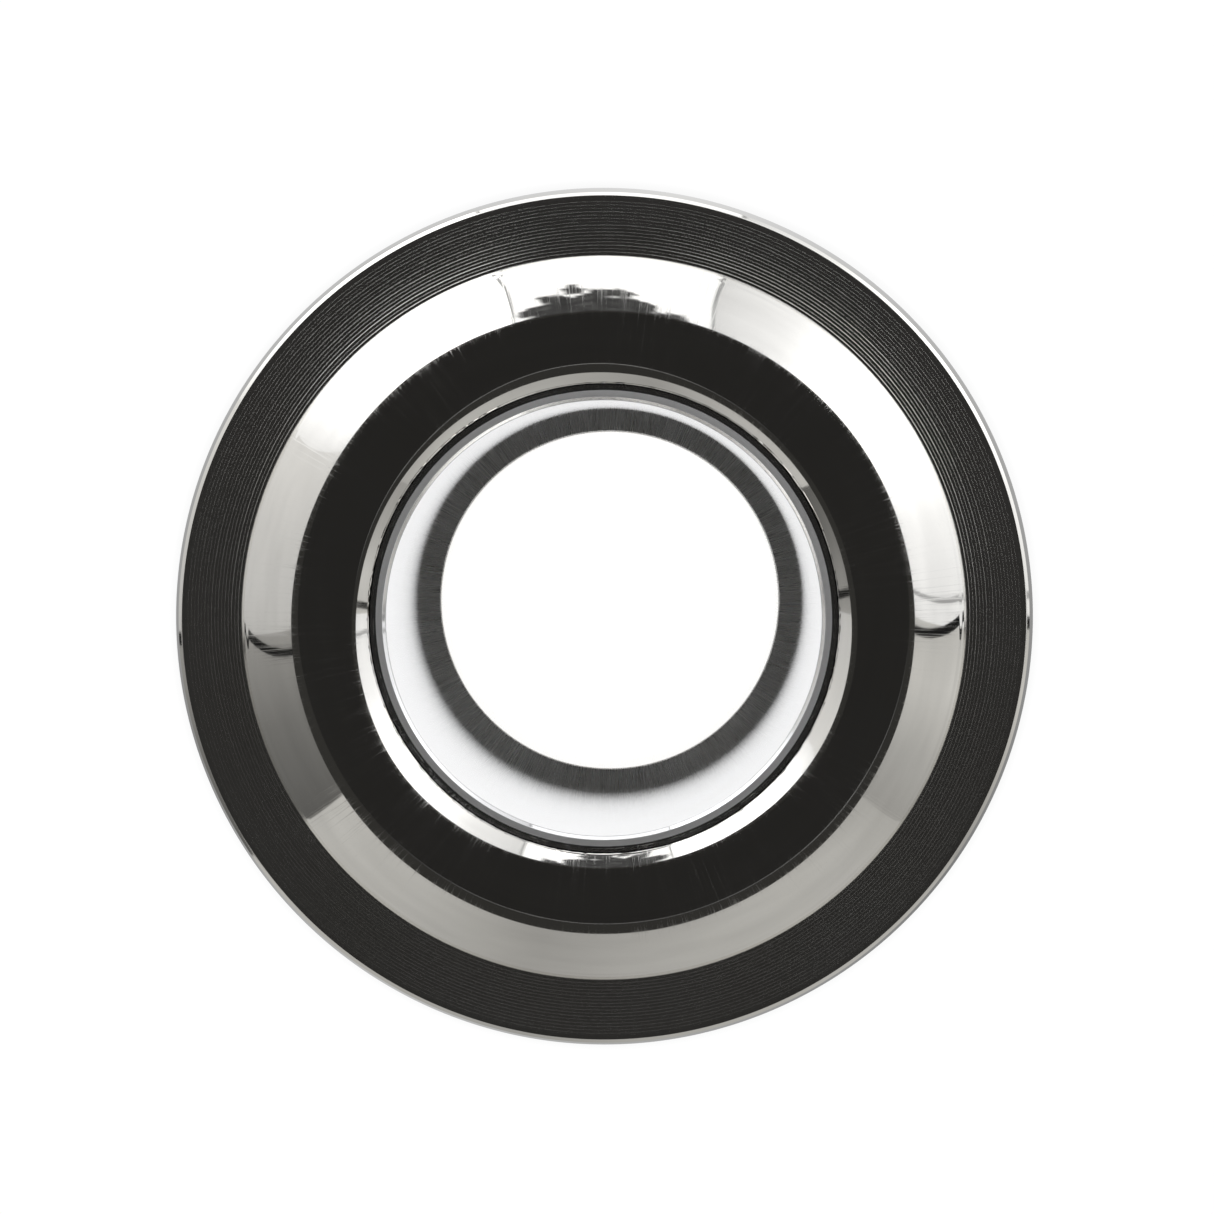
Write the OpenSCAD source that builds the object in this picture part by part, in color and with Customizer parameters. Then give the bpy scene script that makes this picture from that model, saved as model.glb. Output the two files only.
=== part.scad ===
// Wide-bore brass mouthpiece that unscrews into rim, body and shank.
// It stands on its tail, lip rim up. The axis is +Z and the origin is the centre of the tail's end face.
// Right-hand threads are drawn as rings on the male piece, turning with clearance in a plain female bore.

/* [Overall] */
// Height from the tail's end face to the crest of the lip rim
overall_h = 54; // [52:0.5:80]
// Diameter of the body at its belly, the widest place
belly_d = 46.6; // [42:0.2:60]
// Chamfer that breaks the sharp outer edges
edge_break = 0.15; // [0.05:0.05:0.4]

/* [Sleeve] */
// Diameter of the polished bore
bore_d = 23.4; // [18:0.1:29]
// Wall of the sleeve
sleeve_wall = 0.85; // [0.6:0.05:1.2]
// Height of the sleeve's end face above the shoulder
sleeve_proud = 0.55; // [0.4:0.05:1.6]
// Chamfer inside the mouth of the sleeve
sleeve_chamfer = 0.2; // [0.1:0.05:0.4]
// Height of the collar that the rim's spigot clamps
sleeve_collar_h = 1.5; // [1:0.1:3]

/* [Lip rim] */
// Height of the crest above the shoulder
rim_rise = 1.8; // [1.5:0.05:3]
// Distance from the rim's bore out to the crest
crest_inset = 2.7; // [2:0.1:3.5]
// Distance from the crest out to the foot
foot_spread = 4.2; // [3:0.1:4.8]
// Wall of the rim's spigot under its thread
rim_spigot_wall = 1.9; // [1.6:0.1:2.4]
// Depth of the body's socket for the rim
rim_socket_depth = 11; // [10:0.5:14]
// Thread left plain under the rim's foot
rim_relief = 0.8; // [0.4:0.1:2]

/* [Body] */
// Depth of the belly below the shoulder
belly_drop = 4.4; // [2:0.1:6]
// How far the shoulder's edge lies inside the belly
shoulder_in = 0.45; // [0.2:0.05:1]
// Wall of the body's neck outside the shank's socket
neck_wall = 1.9; // [1.6:0.1:4]
// Radius of the cove where the bowl runs into the neck
cove_r = 3; // [1:0.1:4]
// Web that carries the sleeve between the two sockets
web_h = 6.2; // [5.5:0.1:9]
// Radius of the bead round the body's lower end
bead_r = 1.1; // [0.6:0.1:1.6]

/* [Shank] */
// Outside diameter of the tail, the spigot that plugs into a receiver
tail_d = 27; // [24:0.1:31]
// Length of the tail
tail_len = 8.5; // [6:0.5:14]
// Diameter of the narrower hole inside the tail
tail_bore_d = 20.6; // [15:0.1:23]
// Thickness of metal between the end of the tail's outside and the inner step
step_floor = 1.3; // [0.8:0.1:3]
// Height of the stop collar above the tail
stop_h = 2.6; // [1.5:0.1:4]
// How far the stop collar stands out from the thread
stop_out = 1.6; // [0.8:0.1:2.4]
// Wall of the shank under its thread
shank_wall = 1.5; // [1.2:0.1:2.5]
// Length of the smooth land above the thread
land_len = 6.6; // [6.2:0.1:9]

/* [Lock ring] */
// Height of the lock ring
ring_h = 4.6; // [3:0.1:6]
// Wall of the lock ring, thread to grip
ring_wall = 2.9; // [2:0.1:4]
// Number of flutes round the grip
flute_count = 40; // [24:2:60]
// Depth of each flute
flute_depth = 0.35; // [0.2:0.05:0.6]
// How far the ring can be backed off
ring_travel = 2; // [1:0.25:3]
// Thickness of the lock washer
washer_t = 0.8; // [0.5:0.1:1.5]

/* [Threads and fits] */
// Pitch of every thread
pitch = 1; // [0.75:0.25:1.5]
// Height of the thread above its root
thread_h = 0.5; // [0.3:0.05:0.6]
// Radial clearance of every sliding or turning fit
slip = 0.05; // [0.02:0.01:0.1]
// Gap between faces that seat on each other
seat_gap = 0.02; // [0.01:0.01:0.05]
// Section diameter of the two large seals
seal_d = 1.4; // [1:0.1:1.8]
// Section diameter of the two sleeve seals
sleeve_seal_d = 1.2; // [0.8:0.1:1.4]
// Play of a seal in its groove, along the axis
groove_play = 0.1; // [0.05:0.05:0.3]

/* [Hidden] */
$fn = 96;

// Radii, from the bore outwards
bore_r = bore_d / 2;
sleeve_r = bore_r + sleeve_wall;
guide_r = sleeve_r + slip;
rim_core_r = guide_r + rim_spigot_wall;
rim_thread_r = rim_core_r + thread_h;
rim_socket_r = rim_thread_r + slip;
crest_r = guide_r + crest_inset;
foot_r = crest_r + foot_spread;
shank_core_r = guide_r + shank_wall;
shank_thread_r = shank_core_r + thread_h;
shank_socket_r = shank_thread_r + slip;
stop_r = shank_thread_r + stop_out;
ring_r = shank_socket_r + ring_wall;
seal_r = seal_d / 2;
sleeve_seal_r = sleeve_seal_d / 2;

// Heights, from the tail upwards
tail_bore_len = tail_len + step_floor;
stop_top = tail_len + stop_h;
ring_z = stop_top + ring_travel;
washer_z = ring_z + ring_h + seat_gap;
body_z = washer_z + washer_t + seat_gap;
// Heights, from the crest downwards
shoulder_z = overall_h - rim_rise;
sleeve_top = shoulder_z + sleeve_proud;
rim_floor = shoulder_z - rim_socket_depth;
shank_floor = rim_floor - web_h;
shank_top = shank_floor - slip;
thread_top = shank_top - land_len;
sleeve_bottom = tail_bore_len + slip;

// Seals: the shank seal sits low on the smooth land, so it is still on it when the body is unscrewed
shank_seal_z = thread_top + seal_r + 2 * groove_play;
shank_seal_r = shank_core_r + slip + seal_r;
rim_spigot_z = rim_floor + sleeve_collar_h + seat_gap;
rim_seal_z = rim_spigot_z + seal_r + 3 * groove_play;
rim_seal_r = rim_socket_r - slip - seal_r;
web_seal_gap = web_h / 4;

// The bowl is one arc through the shoulder's edge, upright at the belly. The cove touches it and the neck
belly_r = belly_d / 2;
shoulder_r = belly_r - shoulder_in;
bowl_arc = (belly_drop * belly_drop + shoulder_in * shoulder_in) / (2 * shoulder_in);
bowl_x = belly_r - bowl_arc;
bowl_z = shoulder_z - belly_drop;
neck_r = shank_socket_r + neck_wall;
bead_z = body_z + bead_r;
cove_x = neck_r + cove_r;
cove_drop = sqrt(pow(bowl_arc + cove_r, 2) - pow(cove_x - bowl_x, 2));
cove_share = bowl_arc / (bowl_arc + cove_r);
// The rim's section is one arc through its crest and its foot
rim_arc = (foot_spread * foot_spread + rim_rise * rim_rise) / (2 * rim_rise);
arc_fn = 360;

silver = [0.83, 0.83, 0.82];
turned = [0.36, 0.33, 0.31];
rubber = [0.08, 0.08, 0.08];
fibre = [0.45, 0.2, 0.12];

// Turns the drawing to its right about the axis
module turn() {
    rotate_extrude() children();
}

// A plain ring between two radii
module ring_band(inner_r, outer_r, z, h) {
    translate([inner_r, z]) square([outer_r - inner_r, h]);
}

// Section of the rings that stand for a thread, from z up, each one pitch high
module thread_section(core_r, z, length) {
    turns = floor(length / pitch);
    for (i = [0 : turns - 1])
        translate([core_r, z + i * pitch])
            polygon([[-thread_h, 0], [0, 0], [thread_h, 0.4 * pitch],
                     [thread_h, 0.55 * pitch], [0, 0.95 * pitch], [-thread_h, 0.95 * pitch]]);
}

// A rubber seal of round section
module seal(middle_r, section_r, z) {
    color(rubber) turn() translate([middle_r, z]) circle(section_r);
}

module shank() {
    color(silver) turn() difference() {
        union() {
            polygon([[0, 0], [tail_d / 2 - 2 * edge_break, 0], [tail_d / 2, 4 * edge_break],
                     [tail_d / 2, tail_len], [0, tail_len]]);
            polygon([[0, tail_len], [stop_r - edge_break, tail_len], [stop_r, tail_len + edge_break],
                     [stop_r, stop_top - edge_break], [stop_r - edge_break, stop_top], [0, stop_top]]);
            ring_band(0, shank_core_r, stop_top, shank_top - stop_top);
            thread_section(shank_core_r, stop_top + pitch / 2, thread_top - stop_top - pitch / 2);
        }
        ring_band(0, tail_bore_d / 2, -1, tail_bore_len + 2);
        ring_band(0, guide_r, tail_bore_len, overall_h);
        polygon([[0, -1], [tail_bore_d / 2 + edge_break + 1, -1], [tail_bore_d / 2, edge_break], [0, edge_break]]);
    }
}

module lock_ring() {
    top = ring_z + ring_h;
    chamfer = 3 * edge_break;
    color(silver) difference() {
        turn() polygon([[shank_socket_r, ring_z], [ring_r - chamfer, ring_z], [ring_r, ring_z + chamfer],
                        [ring_r, top - chamfer], [ring_r - chamfer, top], [shank_socket_r, top]]);
        for (i = [0 : flute_count - 1])
            rotate(i * 360 / flute_count)
                translate([ring_r + flute_depth, 0, ring_z - 1])
                    cylinder(r = 2 * flute_depth, h = ring_h + 2, $fn = 24);
    }
}

module lock_washer() {
    color(fibre) turn() ring_band(shank_socket_r, ring_r - ring_wall / 3, washer_z, washer_t);
}

module shank_o_ring() {
    seal(shank_seal_r, seal_r, shank_seal_z);
}

// The bowl, the neck below it, the cove between them and the bead round the neck's end
module body_outline() {
    cove_z = bowl_z - cove_drop;
    touch_z = bowl_z - cove_drop * cove_share;
    difference() {
        intersection() {
            translate([bowl_x, bowl_z]) circle(bowl_arc, $fn = arc_fn);
            ring_band(0, belly_r + 1, touch_z, shoulder_z - touch_z);
        }
        polygon([[shoulder_r - edge_break, shoulder_z + 1], [shoulder_r - edge_break, shoulder_z],
                 [shoulder_r + 1, shoulder_z - edge_break - 1], [shoulder_r + 1, shoulder_z + 1]]);
    }
    difference() {
        polygon([[neck_r - 1, cove_z], [cove_x, cove_z],
                 [bowl_x + (cove_x - bowl_x) * cove_share, touch_z], [neck_r - 1, touch_z]]);
        translate([cove_x, cove_z]) circle(cove_r);
    }
    ring_band(0, neck_r, bead_z, touch_z - bead_z);
    ring_band(0, neck_r - bead_r / 2, body_z, bead_r);
    translate([neck_r - bead_r / 2, bead_z]) circle(bead_r);
}

module cup_body() {
    color(turned) turn() difference() {
        body_outline();
        ring_band(-1, guide_r, 0, overall_h);
        ring_band(0, shank_socket_r, body_z - 1, shank_floor - body_z + 1);
        ring_band(0, rim_socket_r, rim_floor, overall_h - rim_floor);
        ring_band(0, shank_seal_r + seal_r + slip, shank_seal_z - seal_r - groove_play,
                  seal_d + 2 * groove_play);
        for (side = [-1, 1])
            ring_band(0, sleeve_r + sleeve_seal_d + slip,
                      shank_floor + web_h / 2 + side * web_seal_gap - sleeve_seal_r - groove_play,
                      sleeve_seal_d + 2 * groove_play);
    }
}

module bore_sleeve() {
    collar_r = rim_socket_r - slip;
    color(silver) turn() union() {
        polygon([[bore_r, sleeve_bottom], [sleeve_r, sleeve_bottom], [sleeve_r, sleeve_top],
                 [bore_r + sleeve_chamfer, sleeve_top], [bore_r, sleeve_top - sleeve_chamfer]]);
        ring_band(sleeve_r - sleeve_wall / 2, collar_r, rim_floor, sleeve_collar_h);
    }
}

module sleeve_o_ring_lower() {
    seal(sleeve_r + slip / 2 + sleeve_seal_r, sleeve_seal_r, shank_floor + web_h / 2 - web_seal_gap);
}

module sleeve_o_ring_upper() {
    seal(sleeve_r + slip / 2 + sleeve_seal_r, sleeve_seal_r, shank_floor + web_h / 2 + web_seal_gap);
}

module rim_o_ring() {
    seal(rim_seal_r, seal_r, rim_seal_z);
}

module lip_rim() {
    foot_z = shoulder_z + seat_gap;
    thread_z = rim_seal_z + seal_r + 2 * groove_play + thread_h;
    color(silver) turn() difference() {
        union() {
            intersection() {
                translate([crest_r, overall_h - rim_arc]) circle(rim_arc, $fn = arc_fn);
                ring_band(guide_r, foot_r, foot_z, rim_rise);
            }
            ring_band(guide_r, rim_core_r, rim_spigot_z, foot_z - rim_spigot_z + 0.5);
            ring_band(guide_r, rim_thread_r - slip, rim_spigot_z, 2 * seal_d);
            thread_section(rim_core_r, thread_z, shoulder_z - rim_relief - thread_z);
        }
        ring_band(rim_seal_r - seal_r - slip, rim_socket_r, rim_seal_z - seal_r - groove_play,
                  seal_d + 2 * groove_play);
    }
}

shank();
lock_ring();
lock_washer();
shank_o_ring();
cup_body();
bore_sleeve();
sleeve_o_ring_lower();
sleeve_o_ring_upper();
rim_o_ring();
lip_rim();
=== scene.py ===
import math

import bpy
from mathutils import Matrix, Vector, noise


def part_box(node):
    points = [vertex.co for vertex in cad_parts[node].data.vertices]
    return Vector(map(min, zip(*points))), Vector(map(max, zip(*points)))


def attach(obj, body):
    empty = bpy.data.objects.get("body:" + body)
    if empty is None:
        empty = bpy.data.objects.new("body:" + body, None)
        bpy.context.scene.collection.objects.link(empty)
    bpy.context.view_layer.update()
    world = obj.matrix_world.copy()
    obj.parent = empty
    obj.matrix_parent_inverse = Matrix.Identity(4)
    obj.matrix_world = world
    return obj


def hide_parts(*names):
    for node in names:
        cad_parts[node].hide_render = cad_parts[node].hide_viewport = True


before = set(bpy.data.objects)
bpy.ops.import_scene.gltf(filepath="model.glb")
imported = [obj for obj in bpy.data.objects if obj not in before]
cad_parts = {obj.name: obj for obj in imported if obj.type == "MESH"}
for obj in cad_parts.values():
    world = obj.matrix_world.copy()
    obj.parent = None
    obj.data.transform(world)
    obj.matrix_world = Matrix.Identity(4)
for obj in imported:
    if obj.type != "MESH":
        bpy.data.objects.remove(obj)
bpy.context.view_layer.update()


# ---- Shank ----
# The tail piece, turned from brass tube, polished and silver plated. It carries the outside thread that the
# body and the lock ring run on, a stop collar, and the narrower hole with the inner step at its foot.

_, shank_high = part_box("shank")
tail_hole_r = 0.0103
tail_r = 0.0135
tail_len = 0.0085
tail_lead = 0.0006
step_z = 0.0098
guide_r = 0.0126
thread_root_r = 0.0141
thread_height = 0.0005
thread_pitch = 0.001
collar_top = 0.0111
fine_edge = 0.00012
ROUND = 360
height_share = 0.71
bored_rough = 0.22
silver = (0.93, 0.92, 0.895)
tarnish = (0.8, 0.77, 0.7)


def arc(centre_r, centre_z, radius, start, end, steps):
    """Points of a section's round stretch, from one angle to the other in degrees."""
    angles = [math.radians(start + (end - start) * i / steps) for i in range(steps + 1)]
    return [(centre_r + radius * math.cos(a), centre_z + radius * math.sin(a), 0.0) for a in angles]


def eased(corners, steps=4):
    """A closed section from (radius, height, edge radius) corners, anticlockwise, with each edge rounded.

    A point is added just before and after each round, so that the flats beside it stay flat when shaded."""
    points = []
    count = len(corners)
    for i, (r, z, edge) in enumerate(corners):
        here = Vector((r, z))
        before = Vector(corners[i - 1][:2]) - here
        after = Vector(corners[(i + 1) % count][:2]) - here
        turn = math.pi - before.angle(after)
        if edge <= 0 or turn < 0.02:
            points.append((r, z))
            continue
        reach = edge * math.tan(turn / 2)
        support = min(reach + edge, 0.45 * before.length, 0.45 * after.length)
        start = here + before.normalized() * reach
        end = here + after.normalized() * reach
        middle = here + (before.normalized() + after.normalized()).normalized() * (edge / math.cos(turn / 2))
        points.append(tuple(here + before.normalized() * support))
        for k in range(steps + 1):
            spoke = (start - middle).normalized().slerp((end - middle).normalized(), k / steps)
            points.append(tuple(middle + spoke * edge))
        points.append(tuple(here + after.normalized() * support))
    return points


def wire(tree, value, socket):
    """Joins an output to an input, or sets the input to a plain value."""
    if isinstance(value, bpy.types.NodeSocket):
        tree.links.new(value, socket)
    else:
        socket.default_value = value


def calc(tree, operation, *values):
    """A Math node on these values, and its result."""
    node = tree.nodes.new("ShaderNodeMath")
    node.operation = operation
    for value, socket in zip(values, node.inputs):
        wire(tree, value, socket)
    return node.outputs[0]


def node_tree(name, inputs):
    """A Geometry Nodes tree with these named inputs, as (name, kind), and its input and output nodes."""
    tree = bpy.data.node_groups.new(name, "GeometryNodeTree")
    tree.interface.new_socket("Geometry", in_out="INPUT", socket_type="NodeSocketGeometry")
    tree.interface.new_socket("Geometry", in_out="OUTPUT", socket_type="NodeSocketGeometry")
    for label, kind in inputs:
        tree.interface.new_socket(label, in_out="INPUT", socket_type="NodeSocket" + kind)
    return tree, tree.nodes.new("NodeGroupInput"), tree.nodes.new("NodeGroupOutput")


def close_tree(tree, geometry, end):
    """Ends a tree in Realize Instances and Set Material."""
    real = tree.nodes.new("GeometryNodeRealizeInstances")
    paint = tree.nodes.new("GeometryNodeSetMaterial")
    tree.links.new(geometry, real.inputs[0])
    tree.links.new(real.outputs[0], paint.inputs["Geometry"])
    given = next(n for n in tree.nodes if n.type == "GROUP_INPUT")
    tree.links.new(given.outputs["Finish"], paint.inputs["Material"])
    tree.links.new(paint.outputs[0], end.inputs[0])


def made_by(name, points, tree, values, sharp=35.0):
    """Runs a tree on a closed section and returns the result as one plain mesh object at the origin."""
    section = bpy.data.meshes.new(name + "_section")
    loop = [(i, (i + 1) % len(points)) for i in range(len(points))]
    section.from_pydata([(p[0], p[1], 0.0) for p in points], loop, [])
    blank = bpy.data.objects.new(name + "_blank", section)
    bpy.context.scene.collection.objects.link(blank)
    modifier = blank.modifiers.new(tree.name, "NODES")
    modifier.node_group = tree
    sockets = {s.name: s.identifier for s in tree.interface.items_tree if s.in_out == "INPUT"}
    for label, value in values.items():
        modifier[sockets[label]] = value
    graph = bpy.context.evaluated_depsgraph_get()
    mesh = bpy.data.meshes.new_from_object(blank.evaluated_get(graph))
    blank.modifiers.remove(modifier)
    bpy.data.objects.remove(blank)
    mesh.name = name
    mesh.shade_smooth()
    mesh.set_sharp_from_angle(angle=math.radians(sharp))
    piece = bpy.data.objects.new(name, mesh)
    bpy.context.scene.collection.objects.link(piece)
    return piece


def turning_tree(name, extra_inputs=(), work=None):
    """A lathe: carries the section round a circle. work may add tool marks to the turned surface."""
    tree, given, end = node_tree(name, [
        ("Facets", "Int"), ("Turning radius", "Float"), ("Finish", "Material"), *extra_inputs])
    section = tree.nodes.new("GeometryNodeMeshToCurve")
    path = tree.nodes.new("GeometryNodeCurvePrimitiveCircle")
    upright = tree.nodes.new("GeometryNodeSetCurveNormal")
    upright.mode = "Z_UP"
    sweep = tree.nodes.new("GeometryNodeCurveToMesh")
    tree.links.new(given.outputs["Geometry"], section.inputs[0])
    tree.links.new(given.outputs["Facets"], path.inputs["Resolution"])
    tree.links.new(given.outputs["Turning radius"], path.inputs["Radius"])
    tree.links.new(path.outputs[0], upright.inputs["Curve"])
    tree.links.new(upright.outputs[0], sweep.inputs["Curve"])
    tree.links.new(section.outputs[0], sweep.inputs["Profile Curve"])
    surface = sweep.outputs[0]
    if work:
        surface = work(tree, given, surface)
    close_tree(tree, surface, end)
    return tree


def turned(name, section, finish, tree=None, facets=ROUND, **marks):
    """A piece turned on the lathe from a section of (radius, height) points, anticlockwise."""
    centre = min(r for r, z in section)
    flat = [(r - centre, -z) for r, z in reversed(section)]
    values = {"Facets": facets, "Turning radius": centre, "Finish": finish}
    values.update({label.replace("_", " "): value for label, value in marks.items()})
    return made_by(name, flat, tree or lathe, values)


def from_axis(tree, position):
    """The x, y and z of a position, and its radius from the turning axis."""
    split = tree.nodes.new("ShaderNodeSeparateXYZ")
    tree.links.new(position, split.inputs[0])
    x, y, z = split.outputs
    squares = calc(tree, "ADD", calc(tree, "MULTIPLY", x, x), calc(tree, "MULTIPLY", y, y))
    return x, y, z, calc(tree, "SQRT", squares)


def object_polar(tree):
    """Where a point lies on a turned piece: the way out from the axis, its radius and its height."""
    place = tree.nodes.new("ShaderNodeTexCoord")
    x, y, z, radius = from_axis(tree, place.outputs["Object"])
    return calc(tree, "DIVIDE", x, radius), calc(tree, "DIVIDE", y, radius), radius, z


def streaks(tree, spot, round_scale, across_scale, detail=2.0):
    """Noise drawn out round the piece or across it: scales are features a radian and a metre."""
    way_x, way_y, radius, height = spot
    joined = tree.nodes.new("ShaderNodeCombineXYZ")
    climb = calc(tree, "MULTIPLY", height, height_share)
    run = calc(tree, "MULTIPLY", calc(tree, "ADD", radius, climb), across_scale)
    wire(tree, calc(tree, "MULTIPLY", way_x, round_scale), joined.inputs[0])
    wire(tree, calc(tree, "MULTIPLY", way_y, round_scale), joined.inputs[1])
    wire(tree, run, joined.inputs[2])
    grain = tree.nodes.new("ShaderNodeTexNoise")
    grain.inputs["Scale"].default_value = 1.0
    grain.inputs["Detail"].default_value = detail
    tree.links.new(joined.outputs[0], grain.inputs["Vector"])
    return grain.outputs["Fac"]


def ramp(tree, value, stops):
    """A colour ramp with these (place, grey) stops."""
    node = tree.nodes.new("ShaderNodeValToRGB")
    elements = node.color_ramp.elements
    while len(elements) < len(stops):
        elements.new(0.5)
    for element, (place, grey) in zip(elements, stops):
        element.position = place
        element.color = (grey, grey, grey, 1.0)
    wire(tree, value, node.inputs[0])
    return node.outputs["Color"]


def bumped(tree, height, depth, below=None):
    """A Bump node of this depth in metres, over an earlier one if there is one."""
    node = tree.nodes.new("ShaderNodeBump")
    node.inputs["Strength"].default_value = 1.0
    node.inputs["Distance"].default_value = depth
    wire(tree, height, node.inputs["Height"])
    if below:
        tree.links.new(below, node.inputs["Normal"])
    return node.outputs[0]


def plated(name, colour, roughness, lathe_depth, buff_depth, tarnish_share=0.12, hair_rough=0.1,
           zones=None):
    """Silver plate: faint lathe rings, finer buffing hairlines across them, and a breath of tarnish.

    zones may return what to add to the roughness, given the tree and the place on the piece."""
    material = bpy.data.materials.new(name)
    material.use_nodes = True
    tree = material.node_tree
    shader = tree.nodes["Principled BSDF"]
    shader.inputs["Metallic"].default_value = 1.0
    spot = object_polar(tree)
    rings = streaks(tree, spot, round_scale=1.2, across_scale=9000.0, detail=3.0)
    brushed = streaks(tree, spot, round_scale=450.0, across_scale=260.0)
    hairs = ramp(tree, brushed, [(0.52, 0.0), (0.7, 1.0)])
    cloud = streaks(tree, spot, round_scale=3.0, across_scale=260.0, detail=4.0)
    dulled = ramp(tree, cloud, [(0.4, 0.0), (0.75, 1.0)])
    mix = tree.nodes.new("ShaderNodeMix")
    mix.data_type = "RGBA"
    mix.inputs["A"].default_value = (*colour, 1.0)
    mix.inputs["B"].default_value = (*(a * b for a, b in zip(colour, tarnish)), 1.0)
    wire(tree, calc(tree, "MULTIPLY", dulled, tarnish_share), mix.inputs["Factor"])
    tree.links.new(mix.outputs["Result"], shader.inputs["Base Color"])
    patchy = streaks(tree, spot, round_scale=2.2, across_scale=150.0)
    worn = calc(tree, "MULTIPLY", hairs, ramp(tree, patchy, [(0.35, 0.15), (0.65, 1.0)]))
    rough = calc(tree, "ADD", roughness, calc(tree, "MULTIPLY", worn, hair_rough))
    if zones:
        rough = calc(tree, "ADD", rough, zones(tree, spot))
    wire(tree, rough, shader.inputs["Roughness"])
    normal = bumped(tree, rings, lathe_depth)
    wire(tree, bumped(tree, hairs, buff_depth, normal), shader.inputs["Normal"])
    return material


def step_zone(tree, spot):
    """The inner step was only bored, never polished."""
    inside = calc(tree, "LESS_THAN", spot[2], guide_r)
    return calc(tree, "MULTIPLY", inside, bored_rough)


shank_plate = plated("shank_silver_plate", silver, 0.05, 4e-7, 2e-8, zones=step_zone)
lathe = turning_tree("lathe")

shank_section = eased([
    (tail_hole_r, 0.0, fine_edge),
    (tail_r - tail_lead / 2, 0.0, fine_edge),
    (tail_r, tail_lead, fine_edge),
    (tail_r, tail_len, fine_edge / 2),
    (shank_high.x, tail_len, fine_edge),
    (shank_high.x, collar_top, fine_edge),
    (thread_root_r, collar_top, fine_edge),
    (thread_root_r, shank_high.z, fine_edge),
    (guide_r, shank_high.z, fine_edge),
    (guide_r, step_z, fine_edge / 4),
    (tail_hole_r, step_z, fine_edge),
])
shank = turned("shank_turning", shank_section, shank_plate)
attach(shank, "tail")
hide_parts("shank")


# ---- Shank thread ----
# The right-hand thread cut on the shank, one millimetre pitch with small flats on its crests. It runs out
# at both ends, as a thread chased on a lathe does.

thread_start = collar_top + 0.7 * thread_pitch
thread_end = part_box("shank_o_ring")[0].z - thread_pitch
thread_steps = 96
run_out = 0.6
thinnest = 0.05


def thread_tree():
    """Carries the thread's section up a helix and thins it to nothing at both ends."""
    tree, given, end = node_tree("chased_thread", [
        ("Turns", "Float"), ("Pitch", "Float"), ("Root radius", "Float"), ("Start height", "Float"),
        ("Steps a turn", "Int"), ("Run out turns", "Float"), ("Finish", "Material")])
    section = tree.nodes.new("GeometryNodeMeshToCurve")
    helix = tree.nodes.new("GeometryNodeCurveSpiral")
    helix.inputs["Reverse"].default_value = True
    turns = given.outputs["Turns"]
    tree.links.new(given.outputs["Geometry"], section.inputs[0])
    tree.links.new(given.outputs["Steps a turn"], helix.inputs["Resolution"])
    tree.links.new(turns, helix.inputs["Rotations"])
    for label in ("Start Radius", "End Radius"):
        tree.links.new(given.outputs["Root radius"], helix.inputs[label])
    wire(tree, calc(tree, "MULTIPLY", turns, given.outputs["Pitch"]), helix.inputs["Height"])
    upright = tree.nodes.new("GeometryNodeSetCurveNormal")
    upright.mode = "Z_UP"
    along = tree.nodes.new("GeometryNodeSplineParameter").outputs["Factor"]
    nearest = calc(tree, "MINIMUM", along, calc(tree, "SUBTRACT", 1.0, along))
    share = calc(tree, "DIVIDE", calc(tree, "MULTIPLY", nearest, turns), given.outputs["Run out turns"])
    full = calc(tree, "MINIMUM", 1.0, calc(tree, "MAXIMUM", share, thinnest))
    sweep = tree.nodes.new("GeometryNodeCurveToMesh")
    sweep.inputs["Fill Caps"].default_value = True
    tree.links.new(helix.outputs[0], upright.inputs["Curve"])
    tree.links.new(upright.outputs[0], sweep.inputs["Curve"])
    tree.links.new(section.outputs[0], sweep.inputs["Profile Curve"])
    wire(tree, full, sweep.inputs["Scale"])
    lift = tree.nodes.new("GeometryNodeTransform")
    raise_by = tree.nodes.new("ShaderNodeCombineXYZ")
    tree.links.new(given.outputs["Start height"], raise_by.inputs["Z"])
    tree.links.new(raise_by.outputs[0], lift.inputs["Translation"])
    tree.links.new(sweep.outputs[0], lift.inputs["Geometry"])
    close_tree(tree, lift.outputs[0], end)
    return tree


def chased(name, root_r, start_z, end_z, finish):
    """A thread of the standard section round a spigot, from one height to another."""
    foot = 0.46 * thread_pitch
    crest = 0.07 * thread_pitch
    sunk = 0.1 * thread_height
    section = [(-sunk, foot), (-sunk, -foot), (thread_height, -crest), (thread_height, crest)]
    values = {"Turns": (end_z - start_z) / thread_pitch, "Pitch": thread_pitch,
              "Root radius": root_r, "Start height": start_z,
              "Steps a turn": thread_steps, "Run out turns": run_out, "Finish": finish}
    return made_by(name, section, threading, values, sharp=25.0)


threading = thread_tree()
shank_thread = chased("shank_thread", thread_root_r, thread_start, thread_end, shank_plate)
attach(shank_thread, "tail")


# ---- Lock ring ----
# A ring nut with a coin-edge grip, run down on the shank's thread and tightened up under the body.
# Turned from brass bar, fluted with a ball-ended cutter, chamfered and plated.

ring_low, ring_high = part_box("lock_ring")
thread_bore_r = 0.01465
ring_chamfer = 0.00045
flutes = 40
flute_depth = 0.00035
cutter_size = 2.0
flute_facets = 18
ring_colour = (0.91, 0.9, 0.875)


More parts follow.
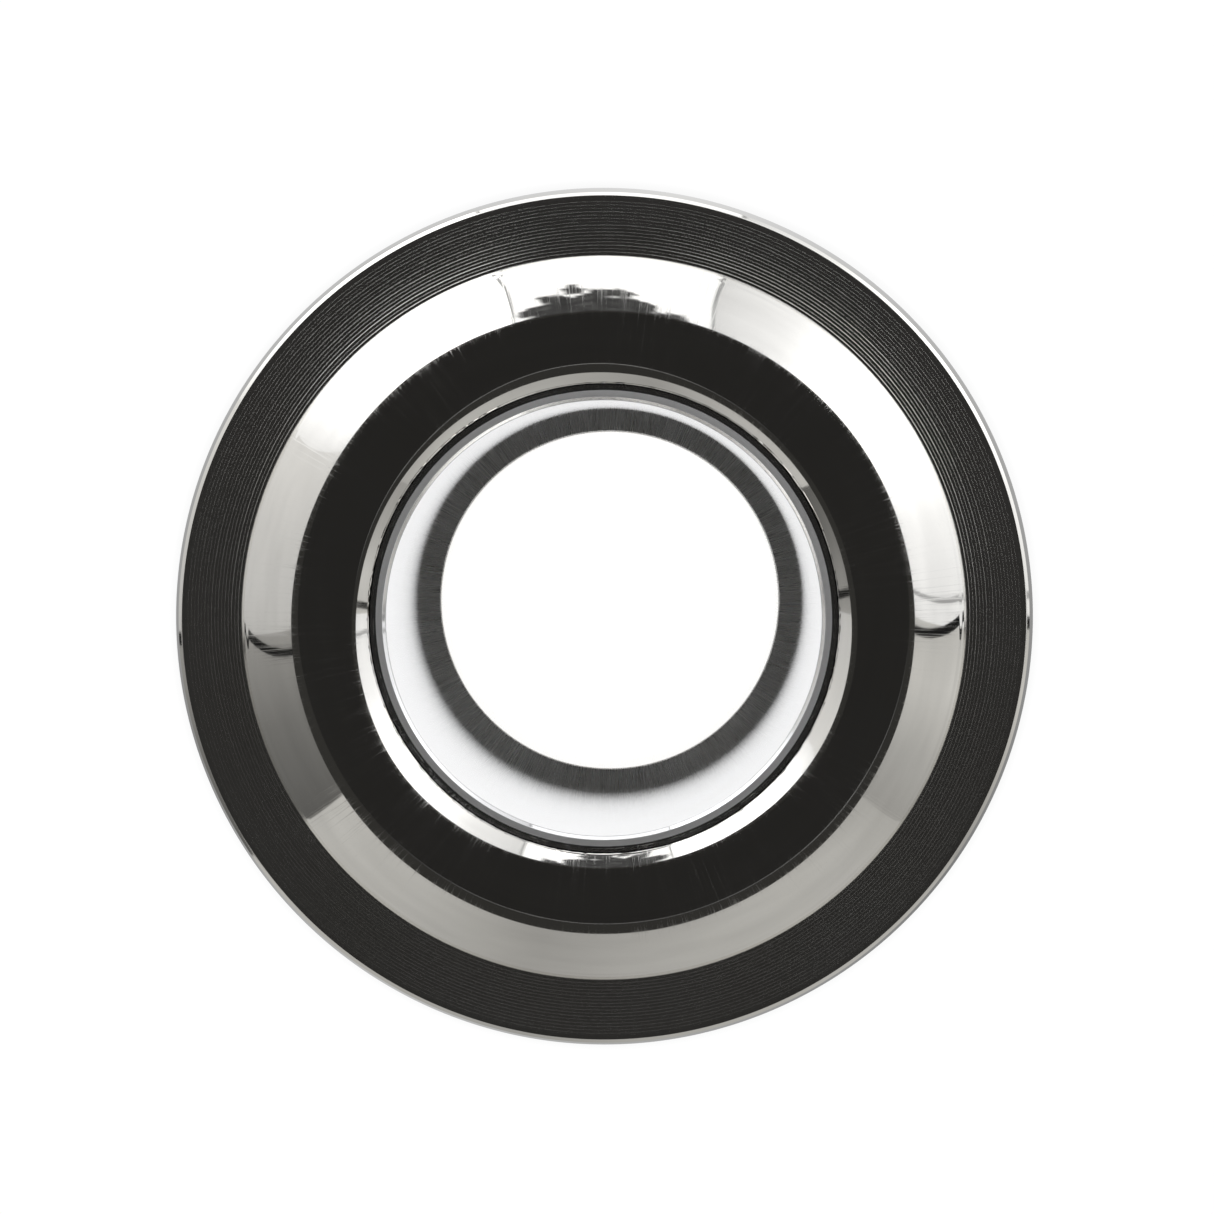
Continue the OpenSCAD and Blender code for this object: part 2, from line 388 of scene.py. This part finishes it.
def flute_work(tree, given, turned_face):
    """Cuts round flutes into the rim: no point stays further out than the cutters leave it."""
    place = tree.nodes.new("GeometryNodeInputPosition")
    x, y, z, radius = from_axis(tree, place.outputs[0])
    angle = calc(tree, "ARCTAN2", y, x)
    count, depth, rim = (given.outputs[label] for label in ("Flutes", "Flute depth", "Rim radius"))
    step = calc(tree, "DIVIDE", 2 * math.pi, count)
    nearest = calc(tree, "ROUND", calc(tree, "DIVIDE", angle, step))
    off = calc(tree, "SUBTRACT", angle, calc(tree, "MULTIPLY", nearest, step))
    side = calc(tree, "MULTIPLY", rim, calc(tree, "SINE", off))
    cutter = calc(tree, "MULTIPLY", depth, cutter_size)
    inside = calc(tree, "SUBTRACT", calc(tree, "MULTIPLY", cutter, cutter),
                  calc(tree, "MULTIPLY", side, side))
    bite = calc(tree, "SQRT", calc(tree, "MAXIMUM", inside, 0.0))
    cut = calc(tree, "SUBTRACT", calc(tree, "ADD", rim, depth), bite)
    left = calc(tree, "MINIMUM", radius, cut)
    share = calc(tree, "DIVIDE", left, radius)
    joined = tree.nodes.new("ShaderNodeCombineXYZ")
    wire(tree, calc(tree, "MULTIPLY", x, share), joined.inputs[0])
    wire(tree, calc(tree, "MULTIPLY", y, share), joined.inputs[1])
    tree.links.new(z, joined.inputs[2])
    move = tree.nodes.new("GeometryNodeSetPosition")
    tree.links.new(turned_face, move.inputs["Geometry"])
    tree.links.new(joined.outputs[0], move.inputs["Position"])
    return move.outputs[0]


def flat_run(r, low, high, count):
    """Evenly spaced points up a wall, for a cutter to work on."""
    return [(r, low + (high - low) * i / count, 0.0) for i in range(1, count)]


ring_plate = plated("ring_silver_plate", ring_colour, 0.09, 1e-6, 5e-7, tarnish_share=0.3)
fluting = turning_tree("fluted_lathe", [
    ("Flutes", "Float"), ("Flute depth", "Float"), ("Rim radius", "Float")], flute_work)
ring_r = ring_high.x
ring_section = eased([
    (thread_bore_r, ring_low.z, fine_edge),
    (ring_r - ring_chamfer, ring_low.z, fine_edge / 2),
    (ring_r, ring_low.z + ring_chamfer, fine_edge / 2),
    *flat_run(ring_r, ring_low.z + ring_chamfer, ring_high.z - ring_chamfer, 6),
    (ring_r, ring_high.z - ring_chamfer, fine_edge / 2),
    (ring_r - ring_chamfer, ring_high.z, fine_edge / 2),
    (thread_bore_r, ring_high.z, fine_edge),
])
lock_ring = turned("lock_ring_fluted", ring_section, ring_plate, fluting, facets=flutes * flute_facets,
                   Flutes=float(flutes), Flute_depth=flute_depth, Rim_radius=ring_r)
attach(lock_ring, "lock")
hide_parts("lock_ring")


# ---- Lock washer ----
# A washer punched from red vulcanised fibre. It spreads the lock ring's grip and spares the plating.

washer_low, washer_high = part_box("lock_washer")


def mottled(name, grain_scale, detail, dark, light, pit_depth, rough, rough_spread=0.0):
    """A matt pressed or moulded material, mottled between two colours and finely pitted."""
    material = bpy.data.materials.new(name)
    material.use_nodes = True
    tree = material.node_tree
    shader = tree.nodes["Principled BSDF"]
    place = tree.nodes.new("ShaderNodeTexCoord")
    grain = tree.nodes.new("ShaderNodeTexNoise")
    grain.inputs["Scale"].default_value = grain_scale
    grain.inputs["Detail"].default_value = detail
    tree.links.new(place.outputs["Object"], grain.inputs["Vector"])
    colour = tree.nodes.new("ShaderNodeMix")
    colour.data_type = "RGBA"
    colour.inputs["A"].default_value = (*dark, 1.0)
    colour.inputs["B"].default_value = (*light, 1.0)
    tree.links.new(grain.outputs["Fac"], colour.inputs["Factor"])
    tree.links.new(colour.outputs["Result"], shader.inputs["Base Color"])
    uneven = calc(tree, "MULTIPLY_ADD", grain.outputs["Fac"], rough_spread, rough)
    wire(tree, uneven, shader.inputs["Roughness"])
    wire(tree, bumped(tree, grain.outputs["Fac"], pit_depth), shader.inputs["Normal"])
    return material


fibre = mottled("vulcanised_fibre", 2600.0, 5.0, dark=(0.16, 0.035, 0.018), light=(0.36, 0.1, 0.05),
                pit_depth=1.5e-5, rough=0.62)
washer_section = eased([
    (thread_bore_r, washer_low.z, fine_edge),
    (washer_high.x, washer_low.z, fine_edge),
    (washer_high.x, washer_high.z, fine_edge),
    (thread_bore_r, washer_high.z, fine_edge),
])
washer = turned("lock_washer_fibre", washer_section, fibre)
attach(washer, "lock_carrier")
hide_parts("lock_washer")


# ---- O-rings ----
# Moulded nitrile rings, slightly greyed by talc: one seals the body on the shank, two hold the sleeve, and
# one damps the rim. They are the model's own solids and only get their rubber here.

rubber = mottled("nitrile_rubber", 1800.0, 4.0, dark=(0.012, 0.012, 0.012), light=(0.05, 0.05, 0.048),
                 pit_depth=8e-6, rough=0.4, rough_spread=0.3)
for seal_name in ("shank_o_ring", "sleeve_o_ring_lower", "sleeve_o_ring_upper", "rim_o_ring"):
    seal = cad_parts[seal_name]
    seal.data.materials.clear()
    seal.data.materials.append(rubber)


# ---- Cup body ----
# The heavy outer body, turned from brass bar and plated. Its bowl and neck are polished, but the shoulder
# round the rim keeps the fine rings that the facing tool left.

body_low, body_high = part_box("cup_body")
shoulder_z = body_high.z
belly_r = body_high.x
belly_drop = 0.0044
shoulder_in = 0.00045
shoulder_r = belly_r - shoulder_in
neck_r = 0.01655
cove_r = 0.003
bead_r = 0.0011
rim_socket_r = 0.01505
rim_socket_depth = 0.011
web_h = 0.0062
edge_break = 0.00015
groove_pitch = 0.00018
groove_depth = 0.0000145
faced_in = 0.0188
rows_a_groove = 6
cut_least = 0.85
cut_spread = 0.3
faced_rough = [(0.86, 0.1), (1.0, 0.13)]
seal_low, seal_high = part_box("shank_o_ring")
seal_play = 0.0001


def seal_groove(r, low, high, deep):
    """Corners of a square groove in a bore, going down the wall."""
    return [(r, high + seal_play, 0.0), (r + deep, high + seal_play, 0.0),
            (r + deep, low - seal_play, 0.0), (r, low - seal_play, 0.0)]


def facing_work(tree, given, turned_face):
    """Sinks rings of one pitch into the flat shoulder, each a little deeper or shallower than the last."""
    place = tree.nodes.new("GeometryNodeInputPosition")
    x, y, z, radius = from_axis(tree, place.outputs[0])
    outer, inner = given.outputs["Outer radius"], given.outputs["Inner radius"]
    rows = calc(tree, "DIVIDE", radius, given.outputs["Ring pitch"])
    ripple = calc(tree, "COSINE", calc(tree, "MULTIPLY", rows, 2 * math.pi))
    wave = calc(tree, "MULTIPLY_ADD", ripple, 0.5, -0.5)
    chance = tree.nodes.new("ShaderNodeTexNoise")
    chance.noise_dimensions = "2D"
    chance.inputs["Scale"].default_value = 1.0
    chance.inputs["Detail"].default_value = 1.0
    mixed = tree.nodes.new("ShaderNodeCombineXYZ")
    wire(tree, calc(tree, "ADD", rows, given.outputs["Seed"]), mixed.inputs[0])
    wire(tree, calc(tree, "MULTIPLY", calc(tree, "ARCTAN2", y, x), 0.4), mixed.inputs[1])
    tree.links.new(mixed.outputs[0], chance.inputs["Vector"])
    inward = calc(tree, "DIVIDE", calc(tree, "SUBTRACT", outer, radius), calc(tree, "SUBTRACT", outer, inner))
    cut = calc(tree, "MULTIPLY", calc(tree, "MULTIPLY_ADD", chance.outputs["Fac"], cut_spread, cut_least),
               calc(tree, "MULTIPLY_ADD", inward, 0.5, 0.75))
    deep = calc(tree, "MULTIPLY", calc(tree, "MULTIPLY", wave, cut), given.outputs["Ring depth"])
    top = calc(tree, "GREATER_THAN", z, calc(tree, "SUBTRACT", given.outputs["Face height"], 1e-6))
    within = calc(tree, "MULTIPLY", calc(tree, "GREATER_THAN", radius, inner),
                  calc(tree, "LESS_THAN", radius, outer))
    offset = tree.nodes.new("ShaderNodeCombineXYZ")
    wire(tree, calc(tree, "MULTIPLY", deep, calc(tree, "MULTIPLY", top, within)), offset.inputs["Z"])
    move = tree.nodes.new("GeometryNodeSetPosition")
    tree.links.new(turned_face, move.inputs["Geometry"])
    tree.links.new(offset.outputs[0], move.inputs["Offset"])
    return move.outputs[0]


def faced_zone(tree, spot):
    """The faced shoulder is left as it came off the tool, duller than the polished bowl."""
    radius, height = spot[2:]
    top = calc(tree, "GREATER_THAN", height, shoulder_z - 4e-5)
    edge = ramp(tree, calc(tree, "DIVIDE", radius, shoulder_r), faced_rough)
    return calc(tree, "MULTIPLY", top, edge)


body_plate = plated("body_silver_plate", silver, 0.05, 8e-7, 3e-8, tarnish_share=0.2, hair_rough=0.02,
                    zones=faced_zone)
facing = turning_tree("facing_lathe", [(label, "Float") for label in (
    "Ring pitch", "Ring depth", "Face height", "Inner radius", "Outer radius", "Seed")], facing_work)
bowl_arc = (belly_drop ** 2 + shoulder_in ** 2) / (2 * shoulder_in)
bowl_r = belly_r - bowl_arc
bowl_z = shoulder_z - belly_drop
cove_x = neck_r + cove_r
cove_z = bowl_z - math.sqrt((bowl_arc + cove_r) ** 2 - (cove_x - bowl_r) ** 2)
touch_angle = math.degrees(math.atan2(cove_z - bowl_z, cove_x - bowl_r))
edge_angle = math.degrees(math.asin((belly_drop - edge_break) / bowl_arc))
socket_floor = shoulder_z - rim_socket_depth
web_floor = socket_floor - web_h
bead_x = neck_r - bead_r / 2
faced_out = shoulder_r - 2 * edge_break
faced_rows = round((faced_out - faced_in) / groove_pitch) * rows_a_groove
body_section = eased([
    (thread_bore_r, body_low.z, fine_edge),
    *arc(bead_x, body_low.z + bead_r, bead_r, -90, 60, 16),
    *arc(cove_x, cove_z, cove_r, 180, 180 + touch_angle, 14)[:-1],
    *arc(bowl_r, bowl_z, bowl_arc, touch_angle, edge_angle, 60),
    (shoulder_r - edge_break, shoulder_z, fine_edge / 3),
    *[(faced_out + (faced_in - faced_out) * i / faced_rows, shoulder_z, 0.0) for i in range(faced_rows + 1)],
    (rim_socket_r, shoulder_z, fine_edge),
    (rim_socket_r, socket_floor, fine_edge),
    (guide_r, socket_floor, fine_edge),
    *[corner for name in ("sleeve_o_ring_upper", "sleeve_o_ring_lower")
      for corner in seal_groove(guide_r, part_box(name)[0].z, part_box(name)[1].z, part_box(name)[1].x - guide_r)],
    (guide_r, web_floor, fine_edge),
    (thread_bore_r, web_floor, fine_edge),
    *seal_groove(thread_bore_r, seal_low.z, seal_high.z, seal_high.x - thread_bore_r),
])
body = turned("cup_body_turning", body_section, body_plate, facing,
              Ring_pitch=groove_pitch, Ring_depth=groove_depth, Face_height=shoulder_z,
              Inner_radius=faced_in, Outer_radius=faced_out, Seed=4.0)
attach(body, "body")
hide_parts("cup_body")


# ---- Bore sleeve ----
# A thin drawn liner that makes the polished bore. The rim's spigot clamps its collar, and its end face shows
# inside the rim as a fine satin band with a bright chamfer.

sleeve_low, sleeve_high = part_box("bore_sleeve")
bore_r = 0.0117
sleeve_r = 0.01255
sleeve_chamfer = 0.0002
collar_h = 0.0015
face_crown = 0.00007
face_rough = 0.36
wall_rough = 0.17
crown_steps = 8


def tube_zones(tree, spot):
    """The faced end is satin and the drawn bore is honed; the chamfer between them is bright."""
    radius, height = spot[2:]
    end_face = calc(tree, "GREATER_THAN", height, sleeve_high.z - 2e-5)
    wall = calc(tree, "LESS_THAN", radius, bore_r + 4e-5)
    return calc(tree, "ADD", calc(tree, "MULTIPLY", end_face, face_rough),
                calc(tree, "MULTIPLY", wall, wall_rough))


tube_metal = plated("drawn_sleeve", (0.92, 0.925, 0.94), 0.06, 2e-7, 1e-8, hair_rough=0.01, zones=tube_zones)
face_w = sleeve_r - bore_r - sleeve_chamfer
sleeve_section = eased([
    (bore_r, sleeve_low.z, fine_edge / 2),
    (sleeve_r, sleeve_low.z, fine_edge / 2),
    (sleeve_r, socket_floor, fine_edge / 4),
    (sleeve_high.x, socket_floor, fine_edge),
    (sleeve_high.x, socket_floor + collar_h, fine_edge),
    (sleeve_r, socket_floor + collar_h, fine_edge / 4),
    *[(sleeve_r - face_w * i / crown_steps, sleeve_high.z - face_crown * (1 - i / crown_steps) ** 2, 0.0)
      for i in range(crown_steps)],
    (bore_r + sleeve_chamfer, sleeve_high.z, fine_edge / 4),
    (bore_r, sleeve_high.z - sleeve_chamfer, fine_edge / 4),
])
sleeve = turned("bore_sleeve_tube", sleeve_section, tube_metal)
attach(sleeve, "body")
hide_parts("bore_sleeve")


# ---- Lip rim ----
# The rounded rim that the lips rest on, turned, hand buffed to a mirror and plated. The buffing wheel leaves
# it very slightly wavy. Its spigot screws into the body and carries a damping ring.

rim_low, rim_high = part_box("lip_rim")
rim_rise = 0.0018
crest_r = 0.0153
rim_root_r = 0.0145
rim_facets = 480
groove_floor_r = 0.01355
spigot_r = 0.01495
spigot_land = 0.0028
thread_gap = 0.0004
thread_stop = 0.0008
wave_count = 3.0
wave_share = 0.32
swell_share = 0.18
slow_least = 0.85
slow_share = 0.35
seal_low, seal_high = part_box("rim_o_ring")


def buffing_work(tree, given, turned_face):
    """Lowers the rim by waves round its inner slope and slower noise all over, as a buffing wheel does."""
    place = tree.nodes.new("GeometryNodeInputPosition")
    x, y, z, radius = from_axis(tree, place.outputs[0])
    turn = calc(tree, "ARCTAN2", y, x)
    dips = calc(tree, "COSINE", calc(tree, "MULTIPLY_ADD", turn, wave_count, given.outputs["Wave start"]))
    swell = calc(tree, "COSINE", calc(tree, "ADD", turn, given.outputs["Swell start"]))
    wave = calc(tree, "MULTIPLY_ADD", dips, wave_share,
                calc(tree, "MULTIPLY_ADD", swell, swell_share, -wave_share - swell_share))
    off = calc(tree, "DIVIDE", calc(tree, "SUBTRACT", radius, given.outputs["Wave radius"]),
               given.outputs["Wave width"])
    nearby = calc(tree, "MINIMUM", calc(tree, "ABSOLUTE", off), 1.0)
    belt = calc(tree, "MULTIPLY_ADD", calc(tree, "COSINE", calc(tree, "MULTIPLY", nearby, math.pi)), 0.5, 0.5)
    slow = tree.nodes.new("ShaderNodeTexNoise")
    slow.noise_dimensions = "4D"
    slow.inputs["Detail"].default_value = 0.0
    tree.links.new(place.outputs[0], slow.inputs["Vector"])
    tree.links.new(given.outputs["Noise per metre"], slow.inputs["Scale"])
    tree.links.new(given.outputs["Seed"], slow.inputs["W"])
    low = calc(tree, "MULTIPLY", calc(tree, "SUBTRACT", slow.outputs["Fac"], slow_least), slow_share)
    above = calc(tree, "GREATER_THAN", z, given.outputs["Buffed above"])
    depth = calc(tree, "MULTIPLY", calc(tree, "ADD", calc(tree, "MULTIPLY", wave, belt), low),
                 calc(tree, "MULTIPLY", above, given.outputs["Wave depth"]))
    face = tree.nodes.new("GeometryNodeInputNormal")
    push = tree.nodes.new("ShaderNodeVectorMath")
    push.operation = "SCALE"
    tree.links.new(face.outputs[0], push.inputs[0])
    wire(tree, depth, push.inputs["Scale"])
    move = tree.nodes.new("GeometryNodeSetPosition")
    tree.links.new(turned_face, move.inputs["Geometry"])
    tree.links.new(push.outputs[0], move.inputs["Offset"])
    return move.outputs[0]


rim_plate = plated("rim_silver_plate", silver, 0.03, 1e-7, 3e-8, hair_rough=0.24)
buffing = turning_tree("buffed_lathe", [(label, "Float") for label in (
    "Wave depth", "Wave radius", "Wave width", "Wave start", "Swell start", "Noise per metre", "Buffed above",
    "Seed")], buffing_work)
foot_r = rim_high.x
crest_z = rim_high.z
rim_arc = ((foot_r - crest_r) ** 2 + rim_rise ** 2) / (2 * rim_rise)
foot_angle = math.degrees(math.acos((foot_r - crest_r) / rim_arc))
inner_angle = math.degrees(math.acos((guide_r - crest_r) / rim_arc))
rim_section = eased([
    (guide_r, rim_low.z, fine_edge),
    (spigot_r, rim_low.z, fine_edge),
    (spigot_r, seal_low.z - seal_play, 0.0),
    (groove_floor_r, seal_low.z - seal_play, 0.0),
    (groove_floor_r, seal_high.z + seal_play, 0.0),
    (spigot_r, seal_high.z + seal_play, 0.0),
    (spigot_r, rim_low.z + spigot_land, fine_edge),
    (rim_root_r, rim_low.z + spigot_land, fine_edge),
    (rim_root_r, shoulder_z, fine_edge),
    (foot_r, shoulder_z, fine_edge / 4),
    *arc(crest_r, crest_z - rim_arc, rim_arc, foot_angle + 0.5, inner_angle - 0.5, 110),
    (guide_r, crest_z - rim_arc + rim_arc * math.sin(math.radians(inner_angle)), fine_edge / 3),
])
rim = turned("lip_rim_polished", rim_section, rim_plate, buffing, facets=rim_facets,
             Wave_depth=0.00017, Wave_radius=0.0146, Wave_width=0.0018, Wave_start=math.radians(75),
             Swell_start=math.radians(100), Noise_per_metre=130.0, Buffed_above=shoulder_z + 0.0003, Seed=1.7)
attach(rim, "rim")
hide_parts("lip_rim")

rim_thread = chased("rim_thread", rim_root_r, rim_low.z + spigot_land + thread_gap, shoulder_z - thread_stop,
                    rim_plate)
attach(rim_thread, "rim")


# ---- Floor, studio and camera ----
# A glowing table top, a tent of soft panels round it and a dark hood overhead, where the camera looks down.
# Dark cards lie just above the table, for the polished sides to mirror, and a dim grey ring round the
# object's foot is painted shade for them to mirror. None of it belongs to the object.

tent_r = 0.62
hood_reach = 25.0
hood_skirt_drop = 7.3
hood_lean = 5.5
hood_bearing = -100.0
low_edge = 100.0
card_reach = (low_edge, 127)
shade_ring_reach = (127, 151)
card_edge = 0.9
cards = ((12, 52, 0.06), (88, 118, 0.12), (150, 196, 0.05), (228, 262, 0.1), (296, 338, 0.06))
above_table = 0.001
fray_rough = 0.22
fray_soft = 0.06
fray_middle = 1.15
fray_narrow = 1.8
floor_half = 3.0
floor_glow = 1.12
shade_r = 0.04
shade_stops = [(0.3, 1.0), (0.32, 0.3), (0.5, 0.5), (0.66, 0.78), (0.69, 0.91)]
camera_rise = 0.302


def panel(name, bearing, reach, glow, tint=(1.0, 1.0, 1.0), radius=tent_r, bow=0.0, slant=0.0, lean=0.0,
          fray=0.0):
    """A glowing panel of the tent, from one bearing to another (degrees anticlockwise from +X) and from one
    reach to another (degrees down from overhead). It stops at the table. glow lists brightnesses along it.

    bow rounds its ends, slant swings its foot round, lean drops its lower edge on one side, and fray is how
    far down a ragged dark patch hangs from its top."""
    columns = max(2, round(abs(bearing[1] - bearing[0]) / (0.5 if fray else 2)))
    rows = 40 if fray else 16
    points = []
    glows = []
    for i in range(columns + 1):
        share = i / columns
        for k in range(rows + 1):
            height = k / rows
            middle = 1 - (2 * height - 1) ** 2
            swing = bow * middle * (2 * share - 1) + slant * height ** 2
            turn = math.radians(bearing[0] + (bearing[1] - bearing[0]) * share + swing)
            last = reach[1] + lean * math.cos(turn - math.radians(hood_bearing))
            fall = math.radians(reach[0] + (last - reach[0]) * height)
            table_away = (shoulder_z - above_table) / max(-math.cos(fall), 1e-6)
            away = radius if fall < math.pi / 2 else min(radius, table_away)
            points.append((away * math.sin(fall) * math.cos(turn), away * math.sin(fall) * math.sin(turn),
                           shoulder_z + away * math.cos(fall)))
            place = share * (len(glow) - 1)
            before = min(int(place), len(glow) - 2)
            level = glow[before] + (glow[before + 1] - glow[before]) * (place - before)
            if fray:
                rough = noise.noise(Vector((turn * 14, fall * 9, 0.0)))
                rough += 0.4 * noise.noise(Vector((turn * 45, fall * 40, 0.0)))
                ragged = fray * (1 - fray_narrow * (2 * share - fray_middle) ** 2) + fray_rough * rough
                blend = min(max((height - ragged) / fray_soft, 0.0), 1.0)
                level = level * blend + (0.04 + 0.08 * abs(rough)) * (1 - blend)
            glows.append(level)
    faces = [(a, a + 1, a + rows + 2, a + rows + 1)
             for i in range(columns) for a in range(i * (rows + 1), i * (rows + 1) + rows)]
    mesh = bpy.data.meshes.new(name)
    mesh.from_pydata(points, [], faces)
    mesh.attributes.new("glow", "FLOAT", "POINT").data.foreach_set("value", glows)
    material = bpy.data.materials.new(name + "_light")
    material.use_nodes = True
    tree = material.node_tree
    tree.nodes.clear()
    light = tree.nodes.new("ShaderNodeEmission")
    end = tree.nodes.new("ShaderNodeOutputMaterial")
    level = tree.nodes.new("ShaderNodeAttribute")
    level.attribute_name = "glow"
    place = tree.nodes.new("ShaderNodeTexCoord")
    folds = tree.nodes.new("ShaderNodeTexNoise")
    folds.inputs["Scale"].default_value = 5.0
    tree.links.new(place.outputs["Object"], folds.inputs["Vector"])
    light.inputs["Color"].default_value = (*tint, 1.0)
    uneven = calc(tree, "MULTIPLY_ADD", folds.outputs["Fac"], 0.3, 0.85)
    wire(tree, calc(tree, "MULTIPLY", level.outputs["Fac"], uneven), light.inputs["Strength"])
    tree.links.new(light.outputs[0], end.inputs["Surface"])
    mesh.materials.append(material)
    card = bpy.data.objects.new(name, mesh)
    bpy.context.scene.collection.objects.link(card)
    card.visible_camera = False
    return card


cream = (1.0, 0.985, 0.945)
full = (23.0, low_edge)
panel("softbox_left", (110, 149), full, (1.9, 1.9, 1.7, 0.9), bow=2.2, radius=tent_r - 0.02)
panel("frame_left", (109.4, 149), full, (0.35, 0.35), bow=2.2, radius=tent_r - 0.01)
panel("scrim_left", (147, 184), full, (0.75, 0.62, 0.5), (1.0, 0.99, 0.97))
panel("softbox_right", (3, 69.5), full, (0.85, 1.0, 1.6, 1.6, 1.0, 0.75), bow=1.2, radius=tent_r - 0.02)
panel("frame_right", (2, 70.2), full, (0.35, 0.35), bow=1.2, radius=tent_r - 0.01)
panel("window_back", (68, 112), full, (1.2, 1.3, 1.2), fray=0.36)
panel("slit_left", (187.8, 189.6), full, (0.01, 0.01), slant=-7.0, radius=tent_r - 0.025)
panel("grey_left", (184, 215), full, (0.3, 0.17, 0.11), cream)
panel("scrim_front", (215, 324), full, (0.5, 0.44, 0.34, 0.4, 0.46, 0.42), cream)
panel("grey_right", (324, 357), full, (0.33, 0.4, 0.56, 0.5), cream)
panel("slit_right", (353.6, 355.4), full, (0.01, 0.01), slant=5.5, radius=tent_r - 0.025)
panel("end_right", (357, 365), full, (0.8, 0.9))
panel("hood", (0, 360), (0, hood_reach), (0.018, 0.018), (1.0, 0.97, 0.92), radius=tent_r - 0.04)
panel("hood_skirt", (0, 360), (hood_reach - 1, hood_reach + hood_skirt_drop), (0.03, 0.03), (1.0, 0.97, 0.9),
      radius=tent_r - 0.035, lean=hood_lean)
panel("hood_seam", (-135, -10), (hood_reach - 0.3, hood_reach + 0.3), (0.02, 0.25, 0.2, 0.3, 0.02),
      radius=tent_r - 0.045)

for first, last, dark in cards:
    panel("table_card_%d" % first, (first, last), card_reach, (card_edge, dark, dark, card_edge))
# A dim grey ring on the table round the object's foot: painted shade for the lower sides to mirror.
panel("table_shade_ring", (0, 360), shade_ring_reach, (0.3, 0.5, 0.75, 0.6, 0.4, 0.25, 0.5, 0.35, 0.2, 0.3))

table_mesh = bpy.data.meshes.new("table")
table_mesh.from_pydata([(-floor_half, -floor_half, 0), (floor_half, -floor_half, 0),
                        (floor_half, floor_half, 0), (-floor_half, floor_half, 0)], [], [(0, 1, 2, 3)])
table_top = bpy.data.materials.new("lit_table")
table_top.use_nodes = True
tree = table_top.node_tree
tree.nodes.clear()
light = tree.nodes.new("ShaderNodeEmission")
end = tree.nodes.new("ShaderNodeOutputMaterial")
# The glow dims in a disc round the object's foot, set a little off centre: a painted contact shadow.
shade = ramp(tree, calc(tree, "DIVIDE", object_polar(tree)[2], shade_r), shade_stops)
wire(tree, calc(tree, "MULTIPLY", shade, floor_glow), light.inputs["Strength"])
tree.links.new(light.outputs[0], end.inputs["Surface"])
table_mesh.materials.append(table_top)
table = bpy.data.objects.new("table", table_mesh)
table.location = (-0.0004, -0.0012, 0.0)
bpy.context.scene.collection.objects.link(table)

world = bpy.data.worlds.new("studio")
world.use_nodes = True
world.node_tree.nodes["Background"].inputs["Color"].default_value = (1.0, 1.0, 1.0, 1.0)
world.node_tree.nodes["Background"].inputs["Strength"].default_value = 1.0
bpy.context.scene.world = world
bpy.context.scene.view_settings.view_transform = "Standard"

camera_data = bpy.data.cameras.new("camera")
camera_data.sensor_width = 36.0
camera_data.lens = 167.0
camera = bpy.data.objects.new("camera", camera_data)
bpy.context.scene.collection.objects.link(camera)
camera.location = (0.0026, 0.0079, sleeve_high.z + camera_rise)
sight = (Vector((0.00017, 0.0006, shoulder_z)) - camera.location).normalized()
camera.rotation_euler = (math.asin(sight.y), math.atan2(-sight.x, -sight.z), 0.0)
camera_data.clip_start = 0.01
camera_data.clip_end = 10.0
bpy.context.scene.camera = camera
